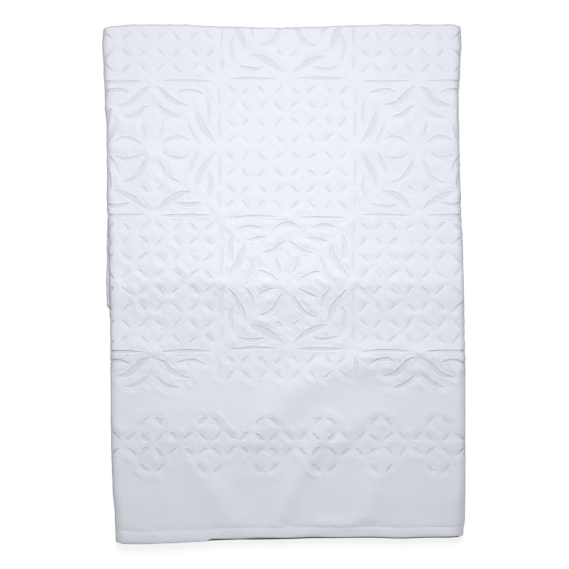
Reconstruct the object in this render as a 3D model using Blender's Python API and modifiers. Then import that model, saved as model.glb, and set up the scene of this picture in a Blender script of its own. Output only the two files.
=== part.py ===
"""Applique bedspread in white cotton, folded in thirds across and in half along, lying face up on a flat surface.

Metres, +Z up. The object's origin is under the middle of its bounding box. +Y runs from the hems, which lie
together at the near end, to the fold at the far end. The ground cloth and the cutwork cloth sewn on it are one
sheet, whose outer face carries the cutwork and shows on top.
"""
import math
from collections import namedtuple

import bmesh
import bpy
import numpy as np

MM = 0.001

# Driving dimensions
CLOTH_WIDTH = 2.286  # flat, from side hem to side hem
SHEET = 0.0012  # both cloths together
HEM_SHEET = 0.0016  # where the edge is turned in and sewn down
HEM_DEPTH = 0.030
LEVEL = 0.0026  # from one layer to the next, so that the layers lie a little apart
LAYERS_A_HALF = 3
FREE_EDGE_INSET = 0.012  # how far a side hem stops short of the fold that it lies in
HALF_LENGTH = 1.1190  # from the near end of the box to the far fold

# The two side folds: the right third turns under first, and the left third turns under both
RIGHT_TURN = (LEVEL + SHEET) / 2
LEFT_TURN = (2 * LEVEL + SHEET) / 2
# The cross fold: the height of its axis, which is also the outer radius of the turn
AXIS_HEIGHT = (LAYERS_A_HALF - 0.5) * LEVEL + SHEET / 2
TOP_HEIGHT = 2 * AXIS_HEIGHT

# How full the pile is: how much further apart the layers lie, as a share, at the edges and away from them
EDGE_FULLNESS = 0.10
FULLNESS = 0.66
SIDE_ROUNDING = 0.016  # the width over which the pile rounds up from its side folds
NEAR_LEFT_ROUNDING = 0.028  # the same at the near end
NEAR_RIGHT_ROUNDING = 0.040
NEAR_FULLNESS = 0.18  # added at the near end
NEAR_LENGTH = 0.170  # where the near end's fullness and rounding have faded out
HEM_FALL = 0.12  # share of the fullness that is lost at the hems' edge
HEM_ROUNDING = 0.006
FOLD_FULLNESS = 0.10  # added at the far fold
FOLD_FULL_LENGTH = 0.110
HEM_BLEND = 0.060  # the uneven hem line fades into the straight weave over this length

# Side folds of the top half and of the half below, in mm from the centre line, by mm up from the near end
Side = namedtuple("Side", "up left right under_left under_right")
SIDES = (
    Side(0, -363, 386, -352, 379),
    Side(60, -365, 390, -356, 383),
    Side(125, -370, 391, -360, 385),
    Side(220, -373, 391, -366, 386),
    Side(350, -374, 391, -368, 386),
    Side(480, -375, 389, -370, 386),
    Side(506, -376, 388, -375, 386),
    Side(522, -376, 388, -383, 387),
    Side(560, -377, 387, -384, 388),
    Side(640, -378, 385, -383, 386),
    Side(670, -378, 385, -383, 385),
    Side(705, -380, 382, -381, 383),
    Side(735, -382, 381, -375, 378),
    Side(900, -383, 378, -377, 373),
    Side(965, -386, 376, -380, 372),
    Side(1030, -389, 380, -383, 374),
    Side(1090, -392, 382, -387, 377),
    Side(1119, -390, 381, -386, 377),
)

# Near end of the hems, in mm up, by mm across: the top layer, those in its half, the half below, and the bottom one
Hem = namedtuple("Hem", "across top inner under bottom")
HEMS = (
    Hem(-385, 14, 17, 20, 18),
    Hem(-362, 4, 9, 14, 12),
    Hem(-343, 0, 5, 9, 8),
    Hem(-300, 0, 4, 7, 7),
    Hem(-246, 2, 5, 7, 6),
    Hem(-184, 5, 7, 6, 5),
    Hem(-167, 6, 8, 5, 4),
    Hem(-155, 10, 12, 4, 3),
    Hem(-52, 11, 13, 4, 3),
    Hem(13, 13, 15, 7, 6),
    Hem(99, 14, 16, 9, 7),
    Hem(186, 14, 16, 10, 8),
    Hem(250, 13, 15, 10, 8),
    Hem(315, 14, 16, 10, 9),
    Hem(350, 15, 17, 10, 9),
    Hem(378, 16, 18, 11, 10),
    Hem(392, 19, 20, 14, 13),
)

# Far end of the cross fold, in mm up, by mm across
FoldLine = namedtuple("FoldLine", "across up")
FOLD_LINE = (
    FoldLine(-390, 1112),
    FoldLine(-378, 1114),
    FoldLine(-365, 1116),
    FoldLine(-330, 1119),
    FoldLine(-230, 1119),
    FoldLine(-130, 1115),
    FoldLine(-10, 1112),
    FoldLine(60, 1114),
    FoldLine(140, 1117),
    FoldLine(220, 1119),
    FoldLine(320, 1119),
    FoldLine(365, 1119),
    FoldLine(380, 1116),
    FoldLine(390, 1112),
)

# Soft creases of the top layers: lines of crests, in mm from the centre line and up, with half width and height
Crest = namedtuple("Crest", "line across up half_width height")
CRESTS = (
    Crest("main", -389, 546, 40, 3.6),
    Crest("main", -289, 557, 36, 3.6),
    Crest("main", -220, 583, 34, 3.8),
    Crest("main", -147, 566, 36, 3.2),
    Crest("main", -48, 553, 38, 3.0),
    Crest("main", 99, 559, 40, 3.2),
    Crest("main", 251, 562, 40, 3.8),
    Crest("main", 393, 555, 38, 3.6),
    Crest("slope", -389, 551, 115, 3.0),
    Crest("slope", 0, 557, 125, 4.0),
    Crest("slope", 393, 553, 115, 3.0),
    Crest("left", -372, 425, 34, 3.6),
    Crest("left", -280, 423, 32, 3.2),
    Crest("right", 190, 402, 38, 3.6),
    Crest("right", 294, 400, 40, 4.8),
    Crest("right", 393, 404, 38, 4.2),
    Crest("bow", 172, 392, 34, 3.4),
    Crest("bow", 110, 376, 36, 5.4),
    Crest("bow", 56, 352, 36, 6.0),
    Crest("bow", 8, 316, 36, 5.6),
    Crest("bow", -34, 272, 34, 4.6),
    Crest("bow", -70, 218, 32, 3.4),
    Crest("bow", -86, 150, 28, 2.4),
    Crest("ridge", 100, 259, 22, 3.6),
    Crest("ridge", 62, 203, 24, 5.4),
    Crest("ridge", 34, 150, 24, 5.4),
    Crest("ridge", 6, 92, 24, 4.6),
    Crest("ridge", -14, 46, 22, 3.2),
    Crest("short", 156, 266, 16, 2.2),
    Crest("short", 112, 201, 16, 3.0),
    Crest("left_low", -190, 168, 30, 3.0),
    Crest("left_low", -150, 112, 34, 5.0),
    Crest("left_low", -112, 52, 32, 4.4),
    Crest("right_low", 220, 175, 24, 2.4),
    Crest("right_low", 196, 119, 26, 4.0),
    Crest("right_low", 180, 58, 24, 3.6),
    Crest("hem", 73, 43, 15, 2.2),
    Crest("hem", 143, 45, 15, 2.4),
    Crest("far", -60, 1011, 60, 1.2),
    Crest("far", 149, 961, 60, 1.2),
)
LEAST_HALF_WIDTH = 0.026  # creases narrower than the mesh can follow are made this wide

# Rows and columns of the cloth's mesh
ROUNDING_COLUMNS = (0.0, 0.0020, 0.0055, 0.0110, 0.0210)  # distances in from the side folds' turns
MIDDLE_COLUMNS = 24
THIRD_COLUMNS = 5
TURN_STEPS = 7
NEAR_ROWS = 24
FAR_ROWS = 9
NEAR_SHARE = 0.56  # the near part of the top half, where the creases are, has the closer rows
UNDER_ROWS = 9

WHITE = (0.76, 0.79, 0.85, 1.0)


def clear_scene():
    for old in list(bpy.data.objects):
        bpy.data.objects.remove(old, do_unlink=True)


def cotton_material():
    material = bpy.data.materials.new("white_cotton")
    material.use_nodes = True
    shader = material.node_tree.nodes["Principled BSDF"]
    shader.inputs["Base Color"].default_value = WHITE
    shader.inputs["Roughness"].default_value = 0.9
    shader.inputs["Metallic"].default_value = 0.0
    return material


def smooth_step(share):
    share = min(max(share, 0.0), 1.0)
    return share * share * (3 - 2 * share)


def read_table(rows, key, column, place):
    """A table's column at a place in mm, eased from row to row; the answer is in metres."""
    keys = [getattr(row, key) * MM for row in rows]
    if place <= keys[0]:
        return getattr(rows[0], column) * MM
    for lower, upper, start, end in zip(rows, rows[1:], keys, keys[1:]):
        if place <= end:
            low = getattr(lower, column) * MM
            high = getattr(upper, column) * MM
            return low + (high - low) * smooth_step((place - start) / (end - start))
    return getattr(rows[-1], column) * MM


def side_folds(up, turned):
    """Left and right fold lines at a height up the pile, from the top half (0) to the half below (1)."""
    left = read_table(SIDES, "up", "left", up)
    right = read_table(SIDES, "up", "right", up)
    under_left = read_table(SIDES, "up", "under_left", up)
    under_right = read_table(SIDES, "up", "under_right", up)
    return left + (under_left - left) * turned, right + (under_right - right) * turned


def fold_across(zone, share, left, right):
    """Place across and depth below the top face of the half, for a share of one zone of the cloth's width.

    In the two rounding zones the share is a distance from the turn.
    """
    flat_left = left + LEFT_TURN
    flat_right = right - RIGHT_TURN
    if zone == "left_third":
        start = right - FREE_EDGE_INSET
        return start + (flat_left - start) * share, 2 * LEFT_TURN
    if zone == "left_turn":
        angle = math.pi * (1 - share)
        return flat_left - LEFT_TURN * math.sin(angle), LEFT_TURN * (1 - math.cos(angle))
    if zone == "left_rounding":
        return flat_left + share, 0.0
    if zone == "middle":
        start = flat_left + ROUNDING_COLUMNS[-1]
        end = flat_right - ROUNDING_COLUMNS[-1]
        return start + (end - start) * share, 0.0
    if zone == "right_rounding":
        return flat_right - share, 0.0
    if zone == "right_turn":
        angle = math.pi * share
        return flat_right + RIGHT_TURN * math.sin(angle), RIGHT_TURN * (1 - math.cos(angle))
    end = left + FREE_EDGE_INSET
    return flat_right + (end - flat_right) * share, 2 * RIGHT_TURN


def hem_line(across, depth, turned):
    """Where the near hem of a layer lies, in the top half or in the half below."""
    under = read_table(HEMS, "across", "under", across)
    outer = read_table(HEMS, "across", "bottom" if turned else "top", across)
    inner = under if turned else read_table(HEMS, "across", "inner", across)
    inside = min(depth / (2 * RIGHT_TURN), 1.0)
    deepest = min(max((depth - 2 * RIGHT_TURN) / LEVEL, 0.0), 1.0)
    return outer + (inner - outer) * inside + (under - inner) * deepest


def fold_along(across, depth, part, share):
    """Place up the pile and height, for a share of the top half, of the turn or of the half below."""
    axis = read_table(FOLD_LINE, "across", "up", across) - AXIS_HEIGHT
    radius = AXIS_HEIGHT - depth
    if part == "turn":
        angle = math.pi * share
        return axis + radius * math.sin(angle), AXIS_HEIGHT + radius * math.cos(angle)
    turned = part == "under"
    along = axis * (1 - share if turned else share)
    fade = 1 - smooth_step(along / HEM_BLEND)
    up = along + hem_line(across, depth, turned) * fade
    return up, AXIS_HEIGHT + (-radius if turned else radius)


def crest_height(across, up):
    """Height that the soft creases add; of each line of crests the nearest one counts."""
    total = 0.0
    for line in dict.fromkeys(crest.line for crest in CRESTS):
        crests = [crest for crest in CRESTS if crest.line == line]
        highest = 0.0
        for start, end in zip(crests, crests[1:]):
            first = np.array((start.across, start.up)) * MM
            run = np.array((end.across, end.up)) * MM - first
            offset = np.array((across, up)) - first
            share = min(max(float(offset @ run) / float(run @ run), 0.0), 1.0)
            distance = float(np.hypot(*(offset - run * share)))
            half_width = (start.half_width + (end.half_width - start.half_width) * share) * MM
            half_width = max(half_width, LEAST_HALF_WIDTH)
            height = (start.height + (end.height - start.height) * share) * MM
            highest = max(highest, height * math.exp(-((distance / half_width) ** 2)))
        total += highest
    return total


def fullness(across, up, left, right):
    """How much further apart the layers lie, as a share: rounding at the sides, fuller at the hems and the fold."""
    side = max(min(across - left, right - across), 0.0)
    near = 1 - smooth_step(up / NEAR_LENGTH)
    near_width = NEAR_RIGHT_ROUNDING if right - across < across - left else NEAR_LEFT_ROUNDING
    width = SIDE_ROUNDING + (near_width - SIDE_ROUNDING) * near
    rounding = 1 - (1 - min(side / width, 1.0)) ** 3
    full = (FULLNESS + NEAR_FULLNESS * near) * (1 - HEM_FALL * math.exp(-max(up, 0.0) / HEM_ROUNDING))
    far = FOLD_FULLNESS * math.exp(-(((HALF_LENGTH - up) / FOLD_FULL_LENGTH) ** 2))
    return EDGE_FULLNESS + (full + far) * rounding


def cloth_columns():
    """Zone and share of each column, from the left third's free hem to the right third's."""
    hem_share = HEM_DEPTH / (CLOTH_WIDTH / 3)
    steps = [hem_share + (1 - hem_share) * i / THIRD_COLUMNS for i in range(THIRD_COLUMNS)]
    columns = [("left_third", 0.0)] + [("left_third", step) for step in steps]
    columns += [("left_turn", i / TURN_STEPS) for i in range(TURN_STEPS)]
    columns += [("left_rounding", distance) for distance in ROUNDING_COLUMNS[:-1]]
    columns += [("middle", i / MIDDLE_COLUMNS) for i in range(MIDDLE_COLUMNS + 1)]
    columns += [("right_rounding", distance) for distance in reversed(ROUNDING_COLUMNS[1:-1])]
    columns += [("right_turn", i / TURN_STEPS) for i in range(TURN_STEPS)]
    columns += [("right_third", 1 - step) for step in reversed(steps[1:] + [1.0])]
    return columns + [("right_third", 1 - hem_share), ("right_third", 1.0)]


def cloth_rows():
    """Part and share of each row, from the top half's hem over the fold to the hem of the half below."""
    hem_share = HEM_DEPTH / HALF_LENGTH
    near = [hem_share + (NEAR_SHARE - hem_share) * i / NEAR_ROWS for i in range(NEAR_ROWS)]
    far = [NEAR_SHARE + (1 - NEAR_SHARE) * i / FAR_ROWS for i in range(FAR_ROWS)]
    rows = [("top", 0.0)] + [("top", share) for share in near + far]
    rows += [("turn", i / TURN_STEPS) for i in range(TURN_STEPS)]
    rows += [("under", (1 - hem_share) * i / UNDER_ROWS) for i in range(UNDER_ROWS + 1)]
    return rows + [("under", 1.0)]


def cloth_point(column, row):
    """A point of the cloth's outer face, which carries the cutwork."""
    part, share = row
    turned = {"top": 0.0, "turn": smooth_step(share), "under": 1.0}[part]
    nominal = HALF_LENGTH * {"top": share, "turn": 1.0, "under": 1 - share}[part]
    left, right = side_folds(nominal, turned)
    across, depth = fold_across(*column, left, right)
    up, height = fold_along(across, depth, part, share)
    level = height / TOP_HEIGHT
    spread = 1 + fullness(across, up, left, right)
    height = height * spread + crest_height(across, up) * level * level
    return across, up - HALF_LENGTH / 2, height


def bedspread_cloth(material):
    """The whole cloth: a grid laid along both sets of folds, thickened inwards, thicker at its turned hems."""
    columns = cloth_columns()
    rows = cloth_rows()
    across_steps = len(columns) - 1
    along_steps = len(rows) - 1
    shape = bmesh.new()
    bmesh.ops.create_grid(shape, x_segments=across_steps, y_segments=along_steps, size=1.0)
    hem_points = []
    shape.verts.index_update()
    for vert in shape.verts:
        column = round((vert.co.x + 1) / 2 * across_steps)
        row = round((vert.co.y + 1) / 2 * along_steps)
        vert.co = cloth_point(columns[column], rows[row])
        if column in (0, across_steps) or row in (0, along_steps):
            hem_points.append(vert.index)
    mesh = bpy.data.meshes.new("bedspread")
    shape.to_mesh(mesh)
    shape.free()
    cloth = bpy.data.objects.new("bedspread", mesh)
    cloth.data.materials.append(material)
    hem = cloth.vertex_groups.new(name="hem")
    hem.add(hem_points, 1.0, "REPLACE")
    solid = cloth.modifiers.new("both_cloths", "SOLIDIFY")
    solid.thickness = HEM_SHEET
    solid.offset = -1.0
    solid.use_even_offset = True
    solid.vertex_group = "hem"
    solid.thickness_vertex_group = SHEET / HEM_SHEET
    mesh.shade_smooth()
    return cloth


def main():
    clear_scene()
    collection = bpy.data.collections.new("applique_bedspread")
    bpy.context.scene.collection.children.link(collection)
    collection.objects.link(bedspread_cloth(cotton_material()))


main()
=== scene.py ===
"""Looks of the folded applique bedspread, laid on the folds of the CAD part.

Metres, +Z up, +Y from the hems to the far fold. A place on the flat cloth is (across, along): across is
measured from the centre line of the folded pile, along from the hem of the top half. A lift is a height off
the outer face of the CAD part, so the cloth lies at small negative lifts.
"""
import math
from collections import namedtuple

import bpy
import numpy as np
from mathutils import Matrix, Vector
from mathutils.geometry import delaunay_2d_cdt


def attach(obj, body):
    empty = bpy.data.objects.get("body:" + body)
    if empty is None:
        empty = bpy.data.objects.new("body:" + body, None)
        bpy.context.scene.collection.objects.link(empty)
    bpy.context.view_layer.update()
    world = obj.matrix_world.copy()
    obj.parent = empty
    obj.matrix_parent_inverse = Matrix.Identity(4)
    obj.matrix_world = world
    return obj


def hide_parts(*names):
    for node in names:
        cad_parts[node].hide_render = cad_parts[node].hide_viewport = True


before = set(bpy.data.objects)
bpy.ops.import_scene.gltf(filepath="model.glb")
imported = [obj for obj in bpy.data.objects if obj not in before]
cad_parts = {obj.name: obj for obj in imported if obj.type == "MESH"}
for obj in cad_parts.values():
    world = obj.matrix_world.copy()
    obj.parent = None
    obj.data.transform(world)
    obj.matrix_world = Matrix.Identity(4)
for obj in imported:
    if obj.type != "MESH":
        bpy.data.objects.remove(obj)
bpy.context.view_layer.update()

MM = 0.001


def table(columns, *rows):
    """Rows of values under named columns."""
    row = namedtuple("Row", columns)
    return [row(*values) for values in rows]


# The flat cloth and its folds, as in the CAD part
CLOTH_WIDTH = 2.286
CLOTH_LENGTH = 2.235
SHEET = 0.0012  # thickness of both cloths together
LEVEL = 0.0026  # from one layer to the next
LAYERS_A_HALF = 3
HEM_DEPTH = 0.0275  # to the hem's stitches
FREE_EDGE_INSET = 0.012  # how far a side third stops short of the opposite fold
HALF_LENGTH = 1.1190
RIGHT_TURN = (LEVEL + SHEET) / 2  # radius of the fold's outer face
LEFT_TURN = (2 * LEVEL + SHEET) / 2
AXIS_HEIGHT = (LAYERS_A_HALF - 0.5) * LEVEL + SHEET / 2
TOP_HEIGHT = 2 * AXIS_HEIGHT
EVEN_AXIS = HALF_LENGTH - AXIS_HEIGHT  # where the cross fold would begin if it were straight
RIGHT_ARC = math.pi * RIGHT_TURN  # length of cloth in a fold
LEFT_ARC = math.pi * LEFT_TURN
CROSS_ARC = math.pi * AXIS_HEIGHT

# How full the pile lies, as shares of its layers' height, and the widths over which that changes
FULLNESS = 0.66
EDGE_FULLNESS = 0.10  # at the side folds
SIDE_ROUNDING = 0.016
NEAR_LEFT_ROUNDING = 0.028
NEAR_RIGHT_ROUNDING = 0.040
NEAR_FULLNESS = 0.18  # added toward the near end
NEAR_LENGTH = 0.170
HEM_FALL = 0.12  # taken off at the hems
HEM_ROUNDING = 0.006
FOLD_FULLNESS = 0.10  # added toward the cross fold
FOLD_FULL_LENGTH = 0.110
HEM_BLEND = 0.060  # up from the near end, where the uneven hem lines fade out
MOST_LEVEL = 1.2  # share of the top height up to which creases grow

# Side folds of the top half and of the half below, in mm across, by mm up from the near end
SIDES = table(
    "up left right under_left under_right",
    (0, -363, 386, -352, 379),
    (60, -365, 390, -356, 383),
    (125, -370, 391, -360, 385),
    (220, -373, 391, -366, 386),
    (350, -374, 391, -368, 386),
    (480, -375, 389, -370, 386),
    (506, -376, 388, -375, 386),
    (522, -376, 388, -383, 387),
    (560, -377, 387, -384, 388),
    (640, -378, 385, -383, 386),
    (670, -378, 385, -383, 385),
    (705, -380, 382, -381, 383),
    (735, -382, 381, -375, 378),
    (900, -383, 378, -377, 373),
    (965, -386, 376, -380, 372),
    (1030, -389, 380, -383, 374),
    (1090, -392, 382, -387, 377),
    (1119, -390, 381, -386, 377),
)

# Near end of the hems, in mm up, by mm across: top layer, others in its half, half below, bottom layer
HEMS = table(
    "across top inner under bottom",
    (-385, 14, 17, 20, 18),
    (-362, 4, 9, 14, 12),
    (-343, 0, 5, 9, 8),
    (-300, 0, 4, 7, 7),
    (-246, 2, 5, 7, 6),
    (-184, 5, 7, 6, 5),
    (-167, 6, 8, 5, 4),
    (-155, 12, 14, 7, 6),
    (-100, 12, 14, 9, 8),
    (-52, 14, 16, 9, 8),
    (13, 14, 16, 10, 9),
    (60, 16, 18, 12, 11),
    (99, 15, 17, 12, 11),
    (186, 16, 18, 13, 12),
    (250, 14, 16, 11, 10),
    (315, 16, 18, 13, 12),
    (350, 16, 18, 13, 12),
    (378, 17, 19, 14, 13),
    (392, 20, 21, 16, 15),
)

# Far end of the cross fold, in mm up, by mm across
FOLD_LINE = table(
    "across up",
    (-390, 1112),
    (-378, 1114),
    (-365, 1116),
    (-330, 1119),
    (-230, 1119),
    (-130, 1115),
    (-10, 1112),
    (60, 1114),
    (140, 1117),
    (220, 1119),
    (320, 1119),
    (365, 1119),
    (380, 1116),
    (390, 1112),
)

# Soft creases of the top layers, as lines of crests, in mm
CRESTS = table(
    "line across up half_width height",
    ("main", -389, 546, 40, 3.6),
    ("main", -289, 557, 36, 3.6),
    ("main", -220, 583, 34, 3.8),
    ("main", -147, 566, 36, 3.2),
    ("main", -48, 553, 38, 3.0),
    ("main", 99, 559, 40, 3.2),
    ("main", 251, 562, 40, 3.8),
    ("main", 393, 555, 38, 3.6),
    ("slope", -389, 551, 115, 3.0),
    ("slope", 0, 557, 125, 4.0),
    ("slope", 393, 553, 115, 3.0),
    ("left", -372, 425, 34, 3.6),
    ("left", -280, 423, 32, 3.2),
    ("right", 190, 402, 38, 3.6),
    ("right", 294, 400, 40, 4.8),
    ("right", 393, 404, 38, 4.2),
    ("bow", 172, 392, 34, 3.4),
    ("bow", 110, 376, 36, 5.4),
    ("bow", 56, 352, 36, 6.0),
    ("bow", 8, 316, 36, 5.6),
    ("bow", -34, 272, 34, 4.6),
    ("bow", -70, 218, 32, 3.4),
    ("bow", -86, 150, 28, 2.4),
    ("ridge", 100, 259, 22, 3.6),
    ("ridge", 62, 203, 24, 5.4),
    ("ridge", 34, 150, 24, 5.4),
    ("ridge", 6, 92, 24, 4.6),
    ("ridge", -14, 46, 22, 3.2),
    ("short", 156, 266, 16, 2.2),
    ("short", 112, 201, 16, 3.0),
    ("left_low", -190, 168, 30, 3.0),
    ("left_low", -150, 112, 34, 5.0),
    ("left_low", -112, 52, 32, 4.4),
    ("right_low", 220, 175, 24, 2.4),
    ("right_low", 196, 119, 26, 4.0),
    ("right_low", 180, 58, 24, 3.6),
    ("hem", 73, 43, 15, 2.2),
    ("hem", 143, 45, 15, 2.4),
    ("far", -60, 1011, 60, 1.2),
    ("far", 149, 961, 60, 1.2),
)

# Soft steps of the top layers, in mm: the span across and the widths over which it fades, the span up over
# which it rises and the length over which it sinks back
STEPS = table(
    "left right left_fade right_fade low high far_fade height",
    (-270, 130, 80, 170, 440, 607, 420, 4.6),
    (-260, 70, 70, 90, 160, 250, 190, 2.2),
)
# Small dips in the top layers by the hem, in mm
DIPS = table(
    "across up half_width half_length depth",
    (1, 43, 12, 4.5, 1.0),
    (186, 43, 25, 7, 1.3),
)
HEM_RISE = 1.3 * MM  # how much the hem stands up at its edge
HEM_RISE_LENGTH = 70.0 * MM

# Random soft wrinkles: wavelengths across and along and height, in mm
WRINKLES = table(
    "across along height seed",
    (150, 110, 0.60, 11),
    (62, 48, 0.50, 12),
    (27, 34, 0.28, 13),
    (15, 48, 0.15, 14),
    (55, 16, 0.14, 15),
)
WRINKLE_START = (7.3, 3.1)  # in wavelengths

# The cloths' lifts
CUTWORK_LIFT = -0.28 * MM  # where outlines cross each other
GROUND_LIFT = -0.95 * MM  # outer face of the ground cloth
GROUND_BACK_LIFT = -1.30 * MM
GROUND_HEM_BACK_LIFT = -1.55 * MM
TURNED_HEM = 0.026  # width of the ground cloth's turned hem
TURNED_HEM_FADE = 0.006
GROUND_EDGE_ROUNDING = 0.7 * MM
GROUND_EDGE_DROP = 0.10 * MM
GROUND_EDGE_THICKNESS = 0.12 * MM

# The turned edge round each opening, in mm: out from the opening's edge, lift, and lift round a slit
RIM = table(
    "out lift slit_lift",
    (0.0, -1.05, -0.98),
    (0.3, -0.50, -0.66),
    (1.3, -0.10, -0.44),
    (3.9, -0.38, -0.44),
)
RIM_UNEVENNESS = 0.13 * MM
RIM_SPACING = 2.6 * MM  # between points round an opening
UNDER_RIM_SPACING = 4.2 * MM
CLEAR_OF_RIM = 5.0 * MM
CLEAR_OF_OWN = 0.7  # how clear a ring stays of its own and other openings, in shares of its own distance
CLEAR_OF_OTHERS = 0.85

# Round the openings the cloth is sewn down; between them it stands up in uneven puffs
DRAWN_DOWN = 0.14 * MM
PUFF_HEIGHT = 0.36 * MM
PUFF_TOP = 11.0 * MM  # distance from an opening at which puffs are highest
PUFF_REACH = 24.0 * MM
PUCKER = 1.00 * MM
PUCKER_ACROSS = 12.0 * MM
PUCKER_ALONG = 17.0 * MM
SOFT_SHARE = 0.65  # share of the puckers that is smooth; the rest changes from point to point
RIM_PUCKER_SHARE = 0.6  # share of the puckers that is left close to an opening
FLOWER_RELIEF = 1.35  # strength of puffs and puckers in flower squares, and elsewhere
LATTICE_RELIEF = 0.90
LEAST_LIFT = -0.85 * MM  # where the cutwork cloth lies on the ground cloth

# The hem: distance from the edge of the cloth and lift, in mm
HEM_PROFILE = table(
    "inside lift",
    (0, -0.62),
    (0.5, -0.36),
    (1.6, -0.12),
    (6, 0.0),
    (12, -0.05),
    (19, -0.22),
    (25.2, -0.34),
    (27.3, -0.76),
    (29.5, -0.52),
    (36, -0.30),
)
HEM_PLACES = np.array([row.inside for row in HEM_PROFILE]) * MM
HEM_LIFTS = np.array([row.lift for row in HEM_PROFILE]) * MM
HEM_WANDER = 1.1 * MM  # how far the hem's inner edge strays
HEM_WANDER_LENGTH = 45.0 * MM
HEM_PUCKER = 0.20 * MM  # puckers along the hem's stitches
HEM_PUCKER_LENGTH = 15.0 * MM
HEM_PUCKER_REACH = 11.0 * MM

# The hems' stitches
STITCH_PITCH = 6.5 * MM
STITCH_LENGTH = 3.6 * MM
STITCH_HALF_WIDTH = 0.26 * MM
STITCH_PLACE_SPREAD = 0.1  # share of the pitch
STITCH_LENGTH_SPREAD = 0.2
STITCH_STRAY = 0.25 * MM
STITCH_SHARES = (0.2, 0.5, 0.8)  # where along a stitch its cross-sections are
THREAD_SECTION = ((-1.0, 0.1), (0.0, 1.0), (1.0, 0.1), (0.0, -0.9))  # aside and up, in half widths

# The small stitches over the openings' turned edges
EDGE_STITCH_PITCH = 5.0 * MM
EDGE_STITCH_IN = 0.35 * MM
EDGE_STITCH_OUT = 1.4 * MM
EDGE_STITCH_HALF_WIDTH = 0.20 * MM
EDGE_STITCH_SPREAD = 0.25  # share of the pitch
EDGE_STITCH_SLANT = 0.3 * MM
EDGE_STITCH_SLANT_SPREAD = 0.15 * MM
EDGE_STITCH_SHARES = (0.55,)

# Edges of the columns and rows of squares, in mm; the first and last ones are part squares
COLUMN_EDGES = (-808.0, -721.4, -429.8, -136.5, 152.0, 426.0, 717.0, 823.0)
ROW_EDGES = (330.5, 416.9, 704.2, 997.9, 1289.5, 1581.1, 1872.7, 1904.5)
SQUARE = 291.6
FIELD_MARGIN = 2  # openings stay this far inside the field

# Openings of a flower square, in half squares: points out along a side's direction and aside from it. Each
# is cut at the named sides, on the sides of their axes that the signs give.
BOTH = (1, -1)
FLOWER_CUTS = table(
    "squares sides signs width fullest points",
    ("all", "NS", BOTH, 0.042, 0.5, ((0.982, 0.14), (0.982, 0.5), (0.982, 0.88))),
    ("all", "EW", BOTH, 0.036, 0.5, ((0.982, 0.12), (0.982, 0.33), (0.982, 0.55))),
    ("all", "EW", BOTH, 0.036, 0.5, ((0.982, 0.61), (0.982, 0.74), (0.982, 0.88))),
    ("all", "NESW", BOTH, 0.052, 0.5, ((0.805, 0.34), (0.845, 0.45), (0.845, 0.60), (0.8, 0.75))),
    ("all", "ESW", BOTH, 0.095, 0.55,
     ((0.9, 0.06), (0.83, 0.155), (0.74, 0.285), (0.67, 0.43), (0.625, 0.57))),
    ("plain", "N", BOTH, 0.08, 0.45,
     ((0.895, 0.055), (0.83, 0.155), (0.72, 0.25), (0.64, 0.39), (0.61, 0.54))),
    ("arched", "N", (1,), 0.05, 0.5,
     ((0.72, -0.25), (0.84, -0.15), (0.895, 0.0), (0.84, 0.15), (0.72, 0.25))),
    ("arched", "N", BOTH, 0.066, 0.5, ((0.7, 0.31), (0.675, 0.44), (0.64, 0.60))),
    ("arched", "EW", BOTH, 0.055, 0.5, ((0.63, 0.045), (0.59, 0.115), (0.535, 0.21), (0.5, 0.37))),
    ("plain", "EW", BOTH, 0.05, 0.5, ((0.675, 0.045), (0.64, 0.125), (0.575, 0.225), (0.525, 0.37))),
    ("all", "N", BOTH, 0.06, 0.5, ((0.635, 0.045), (0.57, 0.12), (0.49, 0.22), (0.45, 0.40))),
    ("all", "S", BOTH, 0.045, 0.5, ((0.64, 0.07), (0.60, 0.12), (0.55, 0.16))),
    ("arched", "EW", (-1,), 0.045, 0.6, ((0.14, 0.085), (0.25, 0.115), (0.36, 0.165), (0.455, 0.19))),
    ("plain", "EW", (-1,), 0.045, 0.5, ((0.14, 0.065), (0.27, 0.130), (0.42, 0.150), (0.56, 0.095))),
    ("arched", "EW", (1,), 0.042, 0.6, ((0.155, 0.050), (0.24, 0.115), (0.35, 0.165), (0.445, 0.19))),
    ("plain", "EW", (1,), 0.042, 0.5, ((0.15, 0.050), (0.28, 0.125), (0.43, 0.155), (0.56, 0.105))),
    ("all", "S", BOTH, 0.058, 0.4,
     ((0.165, 0.075), (0.27, 0.13), (0.39, 0.2), (0.46, 0.3), (0.495, 0.42))),
    ("all", "N", BOTH, 0.048, 0.5, ((0.15, 0.080), (0.27, 0.13), (0.39, 0.155))),
)
ARCHED_SQUARES = ((3, 1), (2, 4), (5, 4))  # column and row
SIDE_DIRECTIONS = {"N": (0, 1), "E": (1, 0), "S": (0, -1), "W": (-1, 0)}
CUT_STRAY = 0.010  # of a whole opening, and of each of its points, in half squares
CUT_POINT_STRAY = 0.006
CUT_WIDTH_SPREAD = (-0.20, 0.28)
SEAM_OUT = 0.95  # openings further out keep to the seams between the squares

# Openings are leaf-shaped
LEAF_POWER = 0.75  # less makes the ends blunter
EDGE_WOBBLE = 0.17  # share of the half width
LEAST_STEPS = 5

# Slits of a lattice square: their places as shares of the square, the same both ways
LATTICE_PLACES = (0.076, 0.184, 0.305, 0.430, 0.557, 0.677, 0.802, 0.914)

# Slits of squares and border, in mm, and how they vary
SLIT_LENGTH = 25.0
SLIT_WIDTH = 5.3
BORDER_SLIT_WIDTH = 6.8
SLIT_BOW = 0.8
RING_BOW = 2.4  # the border's slits curve round the middles of its diamonds
SLIT_SLANT = 45  # degrees
SLIT_SLANT_SPREAD = 4.5
SLIT_LENGTH_SPREAD = (-0.14, 0.12)
SLIT_WIDTH_SPREAD = (-0.30, 0.34)
SLIT_STRAY = 1.1

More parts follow.
